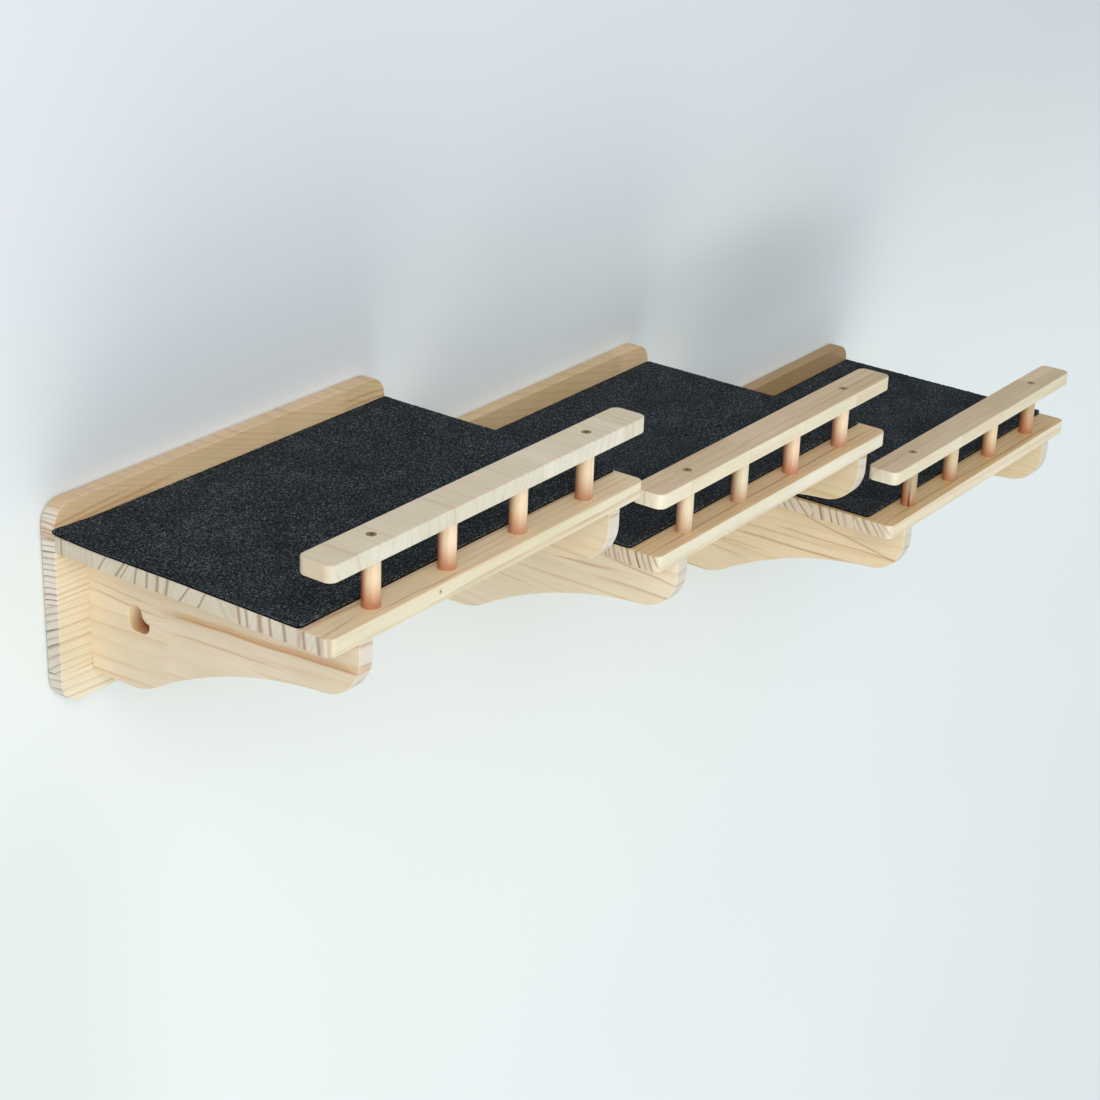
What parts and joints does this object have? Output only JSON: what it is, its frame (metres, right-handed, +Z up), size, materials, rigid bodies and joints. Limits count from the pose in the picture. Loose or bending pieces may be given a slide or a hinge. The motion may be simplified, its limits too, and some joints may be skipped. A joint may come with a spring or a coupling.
{
  "type": "cat wall shelf",
  "caption": "Stepped set of pine wall shelves for cats: each has a carpeted deck on two arched brackets, a screwed back plate and a low guard rail on dowel balusters.",
  "frame": {"origin": "on the wall plane, midway between the two wall screw holes of the upper shelf", "axes": "+X along the wall, from the upper shelf towards the lower one; +Z up; the shelves stand out from the wall towards -Y"},
  "size_m": [1.258, 0.3, 0.406],
  "materials": {
    "pine_plate": "planed and sanded pine, clear satin lacquer",
    "pine_deck": "planed and sanded pine, clear satin lacquer",
    "pine_bracket": "sawn and sanded pine, clear satin lacquer",
    "pine_rail": "finger-jointed pine, sanded, clear satin lacquer",
    "dowel": "turned dowel, smooth, clear satin lacquer",
    "carpet": "charcoal needle-punch carpet with paler flecks",
    "brass_screw": "antiqued brass, dull",
    "zinc_screw": "zinc plated steel"
  },
  "bodies": {
    "root": {"upper_back_plate": "pine_plate", "upper_deck": "pine_deck", "upper_carpet": "carpet", "upper_left_bracket": "pine_bracket", "upper_right_bracket": "pine_bracket", "upper_hand_rail": "pine_rail", "upper_baluster_1": "dowel", "upper_baluster_2": "dowel", "upper_baluster_3": "dowel", "upper_baluster_4": "dowel", "upper_rail_screws": "brass_screw", "upper_baluster_screws": "zinc_screw", "upper_deck_screws": "zinc_screw", "upper_bracket_screws": "zinc_screw", "upper_seat_screws": "zinc_screw", "middle_back_plate": "pine_plate", "middle_deck": "pine_deck", "middle_carpet": "carpet", "middle_left_bracket": "pine_bracket", "middle_right_bracket": "pine_bracket", "middle_hand_rail": "pine_rail", "middle_baluster_1": "dowel", "middle_baluster_2": "dowel", "middle_baluster_3": "dowel", "middle_baluster_4": "dowel", "middle_rail_screws": "brass_screw", "middle_baluster_screws": "zinc_screw", "middle_deck_screws": "zinc_screw", "middle_bracket_screws": "zinc_screw", "middle_seat_screws": "zinc_screw", "lower_back_plate": "pine_plate", "lower_deck": "pine_deck", "lower_carpet": "carpet", "lower_left_bracket": "pine_bracket", "lower_right_bracket": "pine_bracket", "lower_hand_rail": "pine_rail", "lower_baluster_1": "dowel", "lower_baluster_2": "dowel", "lower_baluster_3": "dowel", "lower_baluster_4": "dowel", "lower_rail_screws": "brass_screw", "lower_baluster_screws": "zinc_screw", "lower_deck_screws": "zinc_screw", "lower_bracket_screws": "zinc_screw", "lower_seat_screws": "zinc_screw"}
  },
  "joints": []
}
